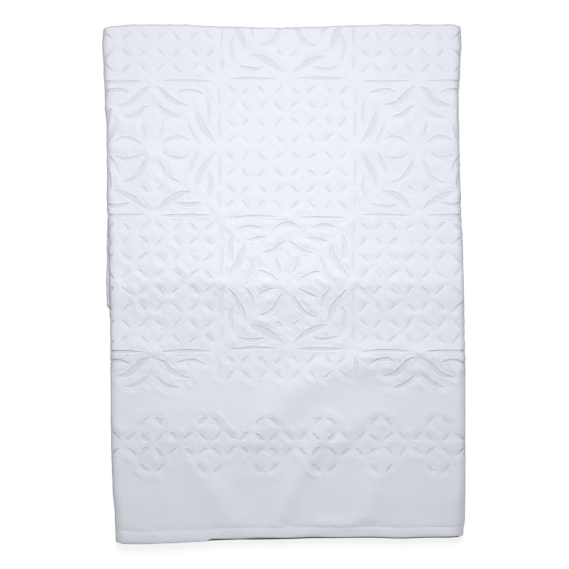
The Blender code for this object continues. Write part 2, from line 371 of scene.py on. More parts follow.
# Rows of slits in the border, in mm from the hem: which of each four are cut, and the middle of the ring
# that the first two belong to
BORDER_ROWS = table(
    "inside rising cut ring",
    (163.5, 0, (0, 1), 180.7),
    (198.0, 1, (0, 1, 2, 3), 180.7),
    (231.1, 0, (0, 1, 2, 3), 247.0),
    (262.8, 1, (0, 1), 247.0),
)
BORDER_PITCH = 30.8
BORDER_START = -299.0
HEM_BAND_END = 150  # from the side hems
SIDE_BAND_END = 330  # from the near and far hem

# The middle third and the top half of the flat cloth, as the cutwork cloth is divided
MIDDLE_REACH = 0.402
TOP_REACH = 1.135

# Spacing of the cutwork cloth's mesh: an even grid, with closer rows of points at the folds
FINE = 6.0 * MM
HEM_ZONE = 0.036  # within it the grid is fine on the lower layers too
FOLD_STEPS = 9
FOLD_MARGIN = 0.8 * MM
FOLD_GAP = 2.5 * MM
FOLD_SPACING = 1.1 * MM
CROSS_STEPS = 15
CROSS_MARGIN = 1.5 * MM
CROSS_SPAN = (1.094, 1.136)  # along, where the cross fold's own rows take over
SIDE_ZONE = (0.340, 0.405)  # where outlines may cross a side fold, across, and the cross fold, along
CROSS_ZONE = (1.090, 1.140)
MERGE_DISTANCE = 1e-8

# Places of the ground cloth's mesh in its parts
THIRD_COLUMNS = 28
TURN_COLUMNS = 9
MIDDLE_COLUMNS = 72
TOP_ROWS = 110
TURN_ROWS = 13
UNDER_ROWS = 50

SEED = 2027


def pairs(across, along):
    """Places from their two measures."""
    return np.stack((across, along), axis=-1)


def aside_of(direction):
    """Directions turned to the left by a quarter."""
    return pairs(-direction[..., 1], direction[..., 0])


def smooth_step(share):
    share = np.clip(share, 0.0, 1.0)
    return share * share * (3 - 2 * share)


def read_table(rows, at):
    """A table's other columns, in metres, at places of its first column in metres, eased from row to row."""
    keys, *columns = np.array(rows, float).T * MM
    lower = np.clip(np.searchsorted(keys, at, side="right") - 1, 0, len(keys) - 2)
    share = smooth_step((at - keys[lower]) / (keys[lower + 1] - keys[lower]))
    return [column[lower] + (column[lower + 1] - column[lower]) * share for column in columns]


def soft_noise(across, along, seed):
    """A smooth random field, about -1 to 1, whose places are given in wavelengths."""
    size = 64
    field = np.random.default_rng(seed).uniform(-1, 1, (size, size))
    column = np.floor(across).astype(int)
    row = np.floor(along).astype(int)
    u = smooth_step(across - column)
    v = smooth_step(along - row)

    def corner(i, j):
        return field[(row + i) % size, (column + j) % size]

    near = corner(0, 0) * (1 - u) + corner(0, 1) * u
    far = corner(1, 0) * (1 - u) + corner(1, 1) * u
    return near * (1 - v) + far * v


def side_folds(up, turned):
    """Places of the left and right fold; turned is 0 in the top half and 1 in the half below."""
    left, right, under_left, under_right = read_table(SIDES, up)
    return left + (under_left - left) * turned, right + (under_right - right) * turned


def fold_across(across, left, right, lift):
    """Places across the pile, and depths of the part's face and of the cloth below the half's top face."""
    flat_left = left + LEFT_TURN
    flat_right = right - RIGHT_TURN
    right_angle = np.clip((across - flat_right) / RIGHT_TURN, 0, math.pi)
    left_angle = np.clip((flat_left - across) / LEFT_TURN, 0, math.pi)
    right_rest = np.maximum(across - flat_right - RIGHT_ARC, 0)
    left_rest = np.maximum(flat_left - across - LEFT_ARC, 0)
    right_full = CLOTH_WIDTH / 2 - flat_right - RIGHT_ARC
    left_full = CLOTH_WIDTH / 2 + flat_left - LEFT_ARC
    right_rest = right_rest * (flat_right - left - FREE_EDGE_INSET) / right_full
    left_rest = left_rest * (right - FREE_EDGE_INSET - flat_left) / left_full
    folded = np.clip(across, flat_left, flat_right)
    folded = folded + (RIGHT_TURN + lift) * np.sin(right_angle) - (LEFT_TURN + lift) * np.sin(left_angle)
    folded = folded - right_rest + left_rest
    base = RIGHT_TURN * (1 - np.cos(right_angle)) + LEFT_TURN * (1 - np.cos(left_angle))
    return folded, base, base - lift * np.cos(right_angle + left_angle)


def hem_line(across, depth, turned):
    """How far up the near end of each layer's hem lies."""
    top, inner, under, bottom = read_table(HEMS, across)
    inside = np.clip(depth / (2 * RIGHT_TURN), 0, 1)
    deepest = np.clip((depth - 2 * RIGHT_TURN) / LEVEL, 0, 1)
    upper_half = top + (inner - top) * inside + (under - inner) * deepest
    lower_half = bottom + (under - bottom) * inside
    return upper_half + (lower_half - upper_half) * (turned > 0.5)


def crest_height(across, up):
    """Height that the soft creases add; of each line of crests the nearest one counts."""
    total = np.zeros_like(across)
    for line in dict.fromkeys(crest.line for crest in CRESTS):
        crests = [crest for crest in CRESTS if crest.line == line]
        highest = np.zeros_like(across)
        for start, end in zip(crests, crests[1:]):
            run_across = (end.across - start.across) * MM
            run_up = (end.up - start.up) * MM
            off_across = across - start.across * MM
            off_up = up - start.up * MM
            share = (off_across * run_across + off_up * run_up) / (run_across**2 + run_up**2)
            share = np.clip(share, 0, 1)
            distance = np.hypot(off_across - run_across * share, off_up - run_up * share)
            half_width = (start.half_width + (end.half_width - start.half_width) * share) * MM
            height = (start.height + (end.height - start.height) * share) * MM
            highest = np.maximum(highest, height * np.exp(-((distance / half_width) ** 2)))
        total += highest
    return total


def step_height(across, up):
    """Height that the hem's rise and the soft steps add, less the dips."""
    total = HEM_RISE * (1 - smooth_step(up / HEM_RISE_LENGTH))
    across, up = across / MM, up / MM
    for step in STEPS:
        left = smooth_step((across - step.left + step.left_fade) / step.left_fade)
        right = 1 - smooth_step((across - step.right) / step.right_fade)
        rise = smooth_step((up - step.low) / (step.high - step.low))
        fall = 1 - smooth_step((up - step.high) / step.far_fade)
        total = total + step.height * MM * left * right * rise * fall
    for dip in DIPS:
        off_across = (across - dip.across) / dip.half_width
        off_up = (up - dip.up) / dip.half_length
        total = total - dip.depth * MM * np.exp(-(off_across**2 + off_up**2))
    return total


def wrinkle_height(across, up):
    total = np.zeros_like(across)
    for wrinkle in WRINKLES:
        column = across / (wrinkle.across * MM) + WRINKLE_START[0]
        row = up / (wrinkle.along * MM) + WRINKLE_START[1]
        total += wrinkle.height * MM * soft_noise(column, row, wrinkle.seed)
    return total


def fullness(across, up, left, right):
    """Share by which the pile stands higher than its layers laid flat."""
    side = np.maximum(np.minimum(across - left, right - across), 0)
    near = 1 - smooth_step(up / NEAR_LENGTH)
    near_width = np.where(right - across < across - left, NEAR_RIGHT_ROUNDING, NEAR_LEFT_ROUNDING)
    width = SIDE_ROUNDING + (near_width - SIDE_ROUNDING) * near
    rounding = 1 - (1 - np.minimum(side / width, 1)) ** 3
    full = (FULLNESS + NEAR_FULLNESS * near) * (1 - HEM_FALL * np.exp(-np.maximum(up, 0) / HEM_ROUNDING))
    far = FOLD_FULLNESS * np.exp(-(((HALF_LENGTH - up) / FOLD_FULL_LENGTH) ** 2))
    return EDGE_FULLNESS + (full + far) * rounding


def along_shares(along, axis):
    """Shares of the top half, of the turn and of the half below."""
    top = np.clip(along / axis, 0, 1)
    turning = np.clip((along - axis) / CROSS_ARC, 0, 1)
    under = np.clip((along - axis - CROSS_ARC) / (CLOTH_LENGTH - axis - CROSS_ARC), 0, 1)
    return top, turning, under


def sides_along(along, axis):
    """Side folds at places along the cloth, where the cross fold begins at the axis."""
    top, turning, under = along_shares(along, axis)
    return side_folds(HALF_LENGTH * top * (1 - under), smooth_step(turning))


def axis_at(across, left, right, lift=0.0):
    """How far up the cross fold begins, by places across the flat cloth."""
    folded, _, _ = fold_across(across, left, right, lift)
    (far_end,) = read_table(FOLD_LINE, folded)
    return far_end - AXIS_HEIGHT


def place(flat_places, lift):
    """Points of the folded cloth, from places on the flat cloth and lifts."""
    across, along = flat_places.T
    left, right = sides_along(along, EVEN_AXIS)
    axis = axis_at(across, left, right, lift)
    left, right = sides_along(along, axis)
    folded, base, depth = fold_across(across, left, right, lift)
    top, turning, under = along_shares(along, axis)
    flat = axis * top * (1 - under)
    radius = AXIS_HEIGHT - depth
    angle = math.pi * turning
    hem = hem_line(folded, base, smooth_step(turning)) * (1 - smooth_step(flat / HEM_BLEND))
    up = flat + hem + radius * np.sin(angle)
    height = AXIS_HEIGHT + radius * np.cos(angle)
    level = np.clip(height / TOP_HEIGHT, 0, MOST_LEVEL)
    height = height * (1 + fullness(folded, up, left, right))
    creases = crest_height(folded, up) + step_height(folded, up) + wrinkle_height(folded, up)
    height = height + creases * level * level
    return np.stack((folded, up - HALF_LENGTH / 2, np.maximum(height, 0)), axis=-1)


# An opening: centre line and greatest width in mm, where along it is fullest, and whether it is a slit
Opening = namedtuple("Opening", "points width fullest slit")


def curve_points(points, count):
    """Evenly spaced points of a smooth curve through the given ones."""
    points = np.array(points, float)
    chords = np.hypot(*np.diff(points, axis=0).T)
    knots = np.concatenate(((0,), np.cumsum(chords)))
    tangents = np.gradient(points, knots, axis=0)
    places = np.linspace(0, knots[-1], count)
    lower = np.clip(np.searchsorted(knots, places, side="right") - 1, 0, len(knots) - 2)
    step = (knots[lower + 1] - knots[lower])[:, None]
    u = (places - knots[lower])[:, None] / step
    return (
        (2 * u**3 - 3 * u**2 + 1) * points[lower]
        + (u**3 - 2 * u**2 + u) * (tangents[lower] * step)
        + (3 * u**2 - 2 * u**3) * points[lower + 1]
        + (u**3 - u**2) * (tangents[lower + 1] * step)
    )


def opening_outline(points, width, fullest, spacing, rng):
    """Outline of a leaf-shaped opening along a curve, counter-clockwise, in metres."""
    chords = np.hypot(*np.diff(np.array(points), axis=0).T)
    steps = max(LEAST_STEPS, round(float(chords.sum()) / spacing))
    line = curve_points(points, steps + 1)
    share = np.linspace(0, 1, steps + 1)
    warped = share ** (math.log(0.5) / math.log(fullest))
    half = width / 2 * np.sin(math.pi * warped) ** LEAF_POWER
    tangent = np.gradient(line, axis=0)
    tangent /= np.hypot(*tangent.T)[:, None]
    aside = aside_of(tangent)
    wobble = 1 + rng.uniform(-EDGE_WOBBLE, EDGE_WOBBLE, (2, steps + 1))
    left = line + aside * (half * wobble[0])[:, None]
    right = line - aside * (half * wobble[1])[:, None]
    return np.concatenate((right[:-1], left[:0:-1]))


def outward(outline):
    """Outward direction at each point of a counter-clockwise outline."""
    before = outline - np.roll(outline, 1, axis=0)
    after = np.roll(outline, -1, axis=0) - outline
    before /= np.hypot(*before.T)[:, None]
    after /= np.hypot(*after.T)[:, None]
    along = before + after
    along /= np.maximum(np.hypot(*along.T), 1e-9)[:, None]
    return -aside_of(along)


def slit(centre_across, centre_along, rising, width, rng, ring=None):
    """A short slanting slit, cut by hand; one that belongs to a ring bows away from its middle."""
    turn = math.radians(SLIT_SLANT + rng.normal(0, SLIT_SLANT_SPREAD))
    if not rising:
        turn = -turn
    half = SLIT_LENGTH / 2 * (1 + rng.uniform(*SLIT_LENGTH_SPREAD))
    run = np.array((math.cos(turn), math.sin(turn)))
    aside = aside_of(run)
    centre = np.array((centre_across, centre_along)) + rng.normal(0, SLIT_STRAY, 2)
    bow = SLIT_BOW * rng.normal(0, 1.0)
    if ring is not None:
        bow += RING_BOW * np.sign(aside @ (centre - np.array(ring)))
    points = (centre - run * half, centre + aside * bow, centre + run * half)
    return Opening(points, width * (1 + rng.uniform(*SLIT_WIDTH_SPREAD)), 0.5, True)


def inside_field(points):
    low = np.array((COLUMN_EDGES[0], ROW_EDGES[0])) + FIELD_MARGIN
    high = np.array((COLUMN_EDGES[-1], ROW_EDGES[-1])) - FIELD_MARGIN
    return bool(np.all((low < points) & (points < high)))


def square_span(edges, index):
    """Low and high edge of a row or column of squares; a part square is measured back from its whole side."""
    low, high = edges[index], edges[index + 1]
    if index == 0:
        low = high - SQUARE
    if index == len(edges) - 2:
        high = low + SQUARE
    return low, high


def lattice_cuts(column, row, rng):
    left, right = square_span(COLUMN_EDGES, column)
    near, far = square_span(ROW_EDGES, row)
    for i, share_across in enumerate(LATTICE_PLACES):
        for j, share_along in enumerate(LATTICE_PLACES):
            across = left + (right - left) * share_across
            along = far - (far - near) * share_along
            yield slit(across, along, (i + j) % 2 == 1, SLIT_WIDTH, rng)


def flower_cuts(column, row, rng):
    left, right = square_span(COLUMN_EDGES, column)
    near, far = square_span(ROW_EDGES, row)
    centre = np.array(((left + right) / 2, (near + far) / 2))
    half = np.array(((right - left) / 2, (far - near) / 2))
    kind = "arched" if (column, row) in ARCHED_SQUARES else "plain"
    cuts = [cut for cut in FLOWER_CUTS if cut.squares in ("all", kind)]
    for cut, side in [(cut, side) for cut in cuts for side in cut.sides]:
        forward = np.array(SIDE_DIRECTIONS[side])
        sideways = -aside_of(forward)
        for sign in cut.signs:
            shift = rng.normal(0, CUT_STRAY, 2)
            points = []
            for out, aside in cut.points:
                off = forward * out + sideways * aside * sign + shift * (out < SEAM_OUT)
                points.append(centre + half * (off + rng.normal(0, CUT_POINT_STRAY, 2)))
            width = cut.width * half[0] * (1 + rng.uniform(*CUT_WIDTH_SPREAD))
            yield Opening(points, width, cut.fullest, False)


def border_cuts(rng):
    """Slits of the four border bands; the side bands lie between the bands along the hems."""
    half = CLOTH_WIDTH / MM / 2
    length = CLOTH_LENGTH / MM
    hem_run = (-half + HEM_BAND_END, half - HEM_BAND_END)
    side_run = (SIDE_BAND_END, length - SIDE_BAND_END)
    bands = (
        (lambda run, inside: (run, inside), hem_run),
        (lambda run, inside: (run, length - inside), hem_run),
        (lambda run, inside: (-half + inside, run), side_run),
        (lambda run, inside: (half - inside, run), side_run),
    )
    for band, (to_cloth, (low, high)) in enumerate(bands):
        first = math.ceil((low - BORDER_START) / BORDER_PITCH)
        last = math.floor((high - BORDER_START) / BORDER_PITCH)
        for row in BORDER_ROWS:
            for k in range(first, last + 1):
                if k % 4 not in row.cut:
                    continue
                across, along = to_cloth(BORDER_START + BORDER_PITCH * k, row.inside)
                rising = (k + row.rising + band) % 2 == 1
                ring = None
                if k % 4 < 2:
                    ring = to_cloth(BORDER_START + BORDER_PITCH * (k + 0.5 - k % 4), row.ring)
                yield slit(across, along, rising, BORDER_SLIT_WIDTH, rng, ring)


def all_cuts():
    rng = np.random.default_rng(SEED)
    cuts = []
    for column in range(len(COLUMN_EDGES) - 1):
        for row in range(len(ROW_EDGES) - 1):
            square_cuts = flower_cuts if (column + row) % 2 == 0 else lattice_cuts
            cuts += [cut for cut in square_cuts(column, row, rng) if inside_field(cut.points)]
    return cuts + list(border_cuts(rng))


def on_top(points):
    """Whether places on the flat cloth are in the part that lies on top."""
    return (np.abs(points[..., 0]) < MIDDLE_REACH) & (points[..., 1] < TOP_REACH)


def hem_distance(across, along):
    """Distance of places on the flat cloth from its edge."""
    return np.minimum(CLOTH_WIDTH / 2 - np.abs(across), np.minimum(along, CLOTH_LENGTH - along))


def stations(low, high):
    """Evenly spaced places between two ends, with closer ones by the hems."""
    margin = HEM_PLACES[-1]
    count = max(1, round((high - low - 2 * margin) / FINE))
    middle = np.linspace(low + margin, high - margin, count + 1)[1:-1]
    return np.concatenate((low + HEM_PLACES, middle, (high - HEM_PLACES)[::-1]))


def in_side_folds(left, right):
    """Places across the flat cloth in the right and then the left fold; for arrays, one row a place."""
    past_right = np.linspace(-FOLD_MARGIN, RIGHT_ARC + FOLD_MARGIN, FOLD_STEPS)
    past_left = np.linspace(-FOLD_MARGIN, LEFT_ARC + FOLD_MARGIN, FOLD_STEPS)
    return np.concatenate((
        np.add.outer(past_right, right - RIGHT_TURN),
        np.add.outer(-past_left, left + LEFT_TURN),
    ))


def by_side_folds(across, left, right):
    """Whether places across the flat cloth are in a side fold or close to one."""
    flat_left, flat_right = left + LEFT_TURN, right - RIGHT_TURN
    by_left = (across < flat_left + FOLD_GAP) & (across > flat_left - LEFT_ARC - FOLD_GAP)
    by_right = (across > flat_right - FOLD_GAP) & (across < flat_right + RIGHT_ARC + FOLD_GAP)
    return by_left | by_right


def grid_points():
    """Points spread over the flat cloth, close together across the folds."""
    half = CLOTH_WIDTH / 2
    across = stations(-half, half)
    along = stations(0, CLOTH_LENGTH)
    points = pairs(*np.meshgrid(across, along)).reshape(-1, 2)
    columns, rows = np.meshgrid(np.arange(len(across)), np.arange(len(along)))
    every_other = ((columns % 2 == 0) & (rows % 2 == 0)).ravel()
    points = points[on_top(points) | every_other | (hem_distance(*points.T) < HEM_ZONE)]
    left, right = sides_along(points[:, 1], EVEN_AXIS)
    axis = axis_at(points[:, 0], left, right)
    by_cross = (points[:, 1] > axis - FOLD_GAP) & (points[:, 1] < axis + CROSS_ARC + FOLD_GAP)
    made = [points[~(by_side_folds(points[:, 0], left, right) | by_cross)]]
    rows = along[(along < CROSS_SPAN[0]) | (along > CROSS_SPAN[1])]
    left, right = sides_along(rows, EVEN_AXIS)
    made += [pairs(places, rows) for places in in_side_folds(left, right)]
    left, right = side_folds(HALF_LENGTH, 0.5)
    columns = np.concatenate((across[~by_side_folds(across, left, right)], in_side_folds(left, right)))
    axis = axis_at(columns, left, right)
    for offset in np.linspace(-CROSS_MARGIN, CROSS_ARC + CROSS_MARGIN, CROSS_STEPS):
        made.append(pairs(columns, axis + offset))
    return np.concatenate(made)


def refine_at_folds(outline):
    """Adds points to an outline where it crosses a fold."""
    made = []
    for start, end in zip(outline, np.roll(outline, -1, axis=0)):
        made.append(start)
        middle = (start + end) / 2
        near_side = SIDE_ZONE[0] < abs(middle[0]) < SIDE_ZONE[1]
        near_cross = CROSS_ZONE[0] < middle[1] < CROSS_ZONE[1]
        if near_side or near_cross:
            steps = max(1, math.ceil(float(np.hypot(*(end - start))) / FOLD_SPACING))
            for step in range(1, steps):
                made.append(start + (end - start) * step / steps)
    return np.array(made)


def distance_to_outline(points, outline):
    """Distance of points from a closed outline."""
    run = np.roll(outline, -1, axis=0) - outline
    offset = points[:, None, :] - outline[None, :, :]
    length = (run**2).sum(axis=1)
    share = np.clip((offset * run).sum(axis=2) / length, 0, 1)
    gap = offset - share[..., None] * run
    return np.sqrt((gap**2).sum(axis=2)).min(axis=1)


def inside_outline(points, outline):
    """Whether points are inside a closed outline."""
    x, y = points[:, 0, None], points[:, 1, None]
    x0, y0 = outline[:, 0], outline[:, 1]
    x1, y1 = np.roll(x0, -1), np.roll(y0, -1)
    crosses = ((y0 > y) != (y1 > y)) & (x < (x1 - x0) * (y - y0) / (y1 - y0 + 1e-15) + x0)
    return crosses.sum(axis=1) % 2 == 1


def all_outlines(cuts, rng):
    """The openings' outlines in metres, finer where they lie on top."""
    outlines = []
    for cut in cuts:
        points = [np.array(point) * MM for point in cut.points]
        spacing = RIM_SPACING if on_top(points[len(points) // 2]) else UNDER_RIM_SPACING
        outline = opening_outline(points, cut.width * MM, cut.fullest, spacing, rng)
        outlines.append(refine_at_folds(outline))
    return outlines


def clear_grid(outlines):
    """Grid points that are clear of the openings, and their distances to the nearest one."""
    grid = grid_points()
    keep = np.ones(len(grid), bool)
    nearest = np.full(len(grid), PUFF_REACH)
    order = np.argsort(grid[:, 1])
    in_order = grid[order, 1]
    for outline in outlines:
        low, high = outline.min(axis=0) - PUFF_REACH, outline.max(axis=0) + PUFF_REACH
        first, last = np.searchsorted(in_order, (low[1], high[1]))
        near = order[first:last]
        near = near[(grid[near, 0] > low[0]) & (grid[near, 0] < high[0])]
        away = distance_to_outline(grid[near], outline)
        nearest[near] = np.minimum(nearest[near], away)
        keep[near[(away < CLEAR_OF_RIM) | inside_outline(grid[near], outline)]] = False
    return grid[keep], nearest[keep]


def near_openings(outlines):
    """For each opening, the outlines of the others whose rims may meet its own."""
    centres = np.array([outline.mean(axis=0) for outline in outlines])
    reach = np.array([np.hypot(*(outline - centre).T).max() for outline, centre in zip(outlines, centres)])
    for number in range(len(outlines)):
        gap = np.hypot(*(centres - centres[number]).T) - reach - reach[number]
        yield [outlines[i] for i in np.flatnonzero(gap < 2 * RIM[-1].out * MM) if i != number]


def clear_of_rims(points, out, own, others):
    """Whether points of a ring round its own opening stay clear of that one and the others."""
    clear = distance_to_outline(points, own) > out * CLEAR_OF_OWN
    for other in others:
        away = distance_to_outline(points, other)
        clear &= (away > out * CLEAR_OF_OTHERS) & ~inside_outline(points, other)
    return clear


def cutwork_net():
    """Flat places, lifts and triangles of the cutwork cloth, and its openings and their outlines."""
    rng = np.random.default_rng(SEED + 1)
    cuts = all_cuts()
    outlines = all_outlines(cuts, rng)
    grid, nearest = clear_grid(outlines)
    places = [grid]
    lifts = [np.maximum(hem_lifts(grid) + puff_lifts(grid, nearest, rng), LEAST_LIFT)]
    count = len(grid)
    edges, faces = [], []
    for cut, outline, others in zip(cuts, outlines, near_openings(outlines)):
        out = outward(outline)
        for row in RIM:
            points = outline + out * row.out * MM
            lift = np.full(len(points), (row.slit_lift if cut.slit else row.lift) * MM)
            numbers = list(range(count, count + len(points)))
            if row is RIM[0]:
                faces.append(numbers)
            elif row is RIM[1]:
                edges += zip(numbers, numbers[1:] + numbers[:1])
            else:
                clear = clear_of_rims(points, row.out * MM, outline, others)
                points = points[clear]
                lift = lift[clear] + rng.normal(0, RIM_UNEVENNESS, len(points))
            places.append(points)
            lifts.append(lift)
            count += len(points)
    lifts = np.concatenate(lifts)
    made, _, triangles, origins, _, in_faces = delaunay_2d_cdt(
        [Vector(point) for point in np.concatenate(places)], edges, faces, 0, MERGE_DISTANCE, True
    )
    made = np.array([tuple(point) for point in made])
    new_lifts = np.array([lifts[origin[0]] if origin else CUTWORK_LIFT for origin in origins])
    outside = [triangle for triangle, parts in zip(triangles, in_faces) if not parts]
    return made, new_lifts, np.array(outside), cuts, outlines


def hem_lifts(points):
    """Lifts of the cutwork cloth by its hems and away from its openings."""
    inside = hem_distance(*points.T)
    run = points.sum(axis=1)
    wander = HEM_WANDER * soft_noise(run / HEM_WANDER_LENGTH, run * 0, SEED + 2)
    pucker = HEM_PUCKER * soft_noise(run / HEM_PUCKER_LENGTH, run * 0, SEED + 3)
    pucker = pucker * np.exp(-(((inside - HEM_DEPTH) / HEM_PUCKER_REACH) ** 2))
    return np.interp(inside + wander, HEM_PLACES, HEM_LIFTS) + pucker


def puff_lifts(points, nearest, rng):
    """What the sewing round the openings adds to the lifts, by the distance to the nearest opening."""
    rise = smooth_step((nearest - CLEAR_OF_RIM) / (PUFF_TOP - CLEAR_OF_RIM))
    fall = 1 - smooth_step((nearest - PUFF_TOP) / (PUFF_REACH - PUFF_TOP))
    pucker = SOFT_SHARE * soft_noise(points[:, 0] / PUCKER_ACROSS, points[:, 1] / PUCKER_ALONG, SEED + 4)
    pucker = pucker + (1 - SOFT_SHARE) * rng.uniform(-1, 1, len(points))
    column = np.searchsorted(COLUMN_EDGES, points[:, 0] / MM)
    row = np.searchsorted(ROW_EDGES, points[:, 1] / MM)
    in_field = (column > 0) & (column < len(COLUMN_EDGES)) & (row > 0) & (row < len(ROW_EDGES))
    relief = np.where(in_field & ((column + row) % 2 == 0), FLOWER_RELIEF, LATTICE_RELIEF)
    puckered = (RIM_PUCKER_SHARE + (1 - RIM_PUCKER_SHARE) * rise) * PUCKER * pucker
    return relief * (rise * PUFF_HEIGHT + puckered) * fall - DRAWN_DOWN * (1 - rise)


def point_normals(points, triangles):
    corners = points[triangles]
    face = np.cross(corners[:, 1] - corners[:, 0], corners[:, 2] - corners[:, 0])
    normals = np.zeros_like(points)
    for corner in range(3):
        np.add.at(normals, triangles[:, corner], face)
    return normals / np.maximum(np.linalg.norm(normals, axis=1), 1e-12)[:, None]


def new_object(name, data):
    made = bpy.data.objects.new(name, data)
    bpy.context.scene.collection.objects.link(made)
    return made


def new_piece(name, points, polygons, flat, material, normals=None):
    """A smooth piece whose points also keep their places on the flat cloth, for the weave."""
    mesh = bpy.data.meshes.new(name)
    mesh.from_pydata(points.tolist(), [], polygons.tolist())
    mesh.polygons.foreach_set("use_smooth", [True] * len(mesh.polygons))
    layer = mesh.uv_layers.new(name="cloth")
    layer.data.foreach_set("uv", flat[polygons.ravel()].astype(np.float32).ravel())
    if normals is not None:
        mesh.normals_split_custom_set_from_vertices(normals.tolist())
    mesh.materials.append(material)
    return new_object(name, mesh)


def cutwork_pieces(material):
    """The cutwork cloth's six pieces and the stitches round the openings of the faces that show."""
    flat, lifts, triangles, cuts, outlines = cutwork_net()
    points = place(flat, lifts)
    normals = point_normals(points, triangles)
    across, along = flat[triangles].mean(axis=1).T
    halves = {"top": along < TOP_REACH, "under": along >= TOP_REACH}
    thirds = {
        "": np.abs(across) < MIDDLE_REACH,
        "_left_third": across <= -MIDDLE_REACH,
        "_right_third": across >= MIDDLE_REACH,
    }
    pieces = []
    for half, in_half in halves.items():
        for third, in_third in thirds.items():
            part = triangles[in_half & in_third]
            used, numbers = np.unique(part, return_inverse=True)
            polygons = numbers.reshape(part.shape)
            name = f"cutwork_{half}{third}"
            pieces.append(new_piece(name, points[used], polygons, flat[used], material, normals[used]))
    showing = [pair for pair in zip(cuts, outlines) if np.abs(pair[1][:, 0]).max() < MIDDLE_REACH]
    for half in halves:
        chosen = [pair for pair in showing if (pair[1][:, 1].mean() < TOP_REACH) == (half == "top")]
        pieces.append(edge_stitches(f"edge_stitches_{half}", chosen, material))
    return pieces


def thread_piece(name, batches, half_width, shares, material):
    """Short threads, pointed at both ends, with cross-sections at shares of their length. A batch gives their
    starts, ends, directions aside, and lifts of starts and ends."""
    starts, ends, asides, start_lifts, end_lifts = (np.concatenate(parts) for parts in zip(*batches))
    count = len(starts)
    places, lifts = [starts, ends], [start_lifts, end_lifts]
    for share in shares:
        for side, rise in THREAD_SECTION:
            places.append(starts + (ends - starts) * share + asides * side * half_width)
            lifts.append(start_lifts + (end_lifts - start_lifts) * share + rise * half_width)
    numbers = np.arange(count * len(places)).reshape(len(places), count)
    first, last = numbers[0], numbers[1]
    rings = numbers[2:].reshape(len(shares), len(THREAD_SECTION), count)
    triangles = []
    for i in range(len(THREAD_SECTION)):
        j = (i + 1) % len(THREAD_SECTION)
        triangles.append((first, rings[0, j], rings[0, i]))
        triangles.append((last, rings[-1, i], rings[-1, j]))
        for near, far in zip(rings, rings[1:]):
            triangles.append((near[i], near[j], far[j]))
            triangles.append((near[i], far[j], far[i]))
    triangles = np.array(triangles).transpose(0, 2, 1).reshape(-1, 3)
    flat = np.concatenate(places)
    return new_piece(name, place(flat, np.concatenate(lifts)), triangles, flat, material)


def hem_stitches(material):
    """Running stitches that hold the hems down."""
    rng = np.random.default_rng(SEED + 5)
    across, along = CLOTH_WIDTH / 2 - HEM_DEPTH, CLOTH_LENGTH - HEM_DEPTH
    corners = np.array(((-across, HEM_DEPTH), (across, HEM_DEPTH), (across, along), (-across, along)))
    batches = []
    for corner, following in zip(corners, np.roll(corners, -1, axis=0)):
        length = float(np.hypot(*(following - corner)))
        forward = (following - corner) / length
        runs = np.arange(STITCH_PITCH, length - STITCH_PITCH, STITCH_PITCH)
        runs = runs + rng.normal(0, STITCH_PLACE_SPREAD * STITCH_PITCH, len(runs))
        spread = rng.uniform(-STITCH_LENGTH_SPREAD, STITCH_LENGTH_SPREAD, len(runs))
        half = STITCH_LENGTH / 2 * (1 + spread)
        aside = aside_of(forward)
        stray = rng.normal(0, STITCH_STRAY, (2, len(runs), 1)) * aside
        starts = corner + forward * (runs - half)[:, None] + stray[0]
        ends = corner + forward * (runs + half)[:, None] + stray[1]
        lifts = hem_lifts((starts + ends) / 2)
        batches.append((starts, ends, np.tile(aside, (len(runs), 1)), lifts, lifts))
    return thread_piece("hem_stitches", batches, STITCH_HALF_WIDTH, STITCH_SHARES, material)


def edge_stitches(name, chosen, material):
    """Small stitches over the turned edges of openings, given with their outlines."""
    rng = np.random.default_rng(SEED + 6)
    batches = []
    for cut, outline in chosen:
        around = np.hstack((outline, outward(outline)))
        around = np.vstack((around, around[:1]))
        runs = np.concatenate(((0,), np.cumsum(np.hypot(*np.diff(around[:, :2], axis=0).T))))
        count = round(runs[-1] / EDGE_STITCH_PITCH)
        spread = rng.uniform(-EDGE_STITCH_SPREAD, EDGE_STITCH_SPREAD, count)
        at = (np.arange(count) + 0.5 + spread) * runs[-1] / count
        edge_and_out = np.stack([np.interp(at, runs, measures) for measures in around.T], axis=-1)
        edge, out = np.hsplit(edge_and_out, 2)
        aside = aside_of(out)
        slant = aside * rng.normal(EDGE_STITCH_SLANT, EDGE_STITCH_SLANT_SPREAD, (count, 1))
        starts = edge - out * EDGE_STITCH_IN - slant
        ends = edge + out * EDGE_STITCH_OUT + slant
        end_lift = (RIM[2].slit_lift if cut.slit else RIM[2].lift) * MM
        batches.append((starts, ends, aside, np.full(count, GROUND_LIFT), np.full(count, end_lift)))
    return thread_piece(name, batches, EDGE_STITCH_HALF_WIDTH, EDGE_STITCH_SHARES, material)


def spread_places(start, end, count):
    """Evenly spaced places from a start up to, but not at, an end; for arrays, one row a place."""
    return start + np.multiply.outer(np.linspace(0, 1, count)[:-1], end - start)


def ground_rows(axis):
    """Places along the cloth of the ground mesh's rows, for cross folds that begin at the axis."""
    margin = HEM_PLACES[-1]
    past_fold = axis + CROSS_ARC
    even = np.zeros_like(axis)
    return np.concatenate((
        np.add.outer(HEM_PLACES[:-1], even),
        spread_places(margin, axis, TOP_ROWS),
        spread_places(axis, past_fold, TURN_ROWS),
        spread_places(past_fold, CLOTH_LENGTH - margin, UNDER_ROWS),
        np.add.outer(CLOTH_LENGTH - HEM_PLACES[::-1], even),
    ))


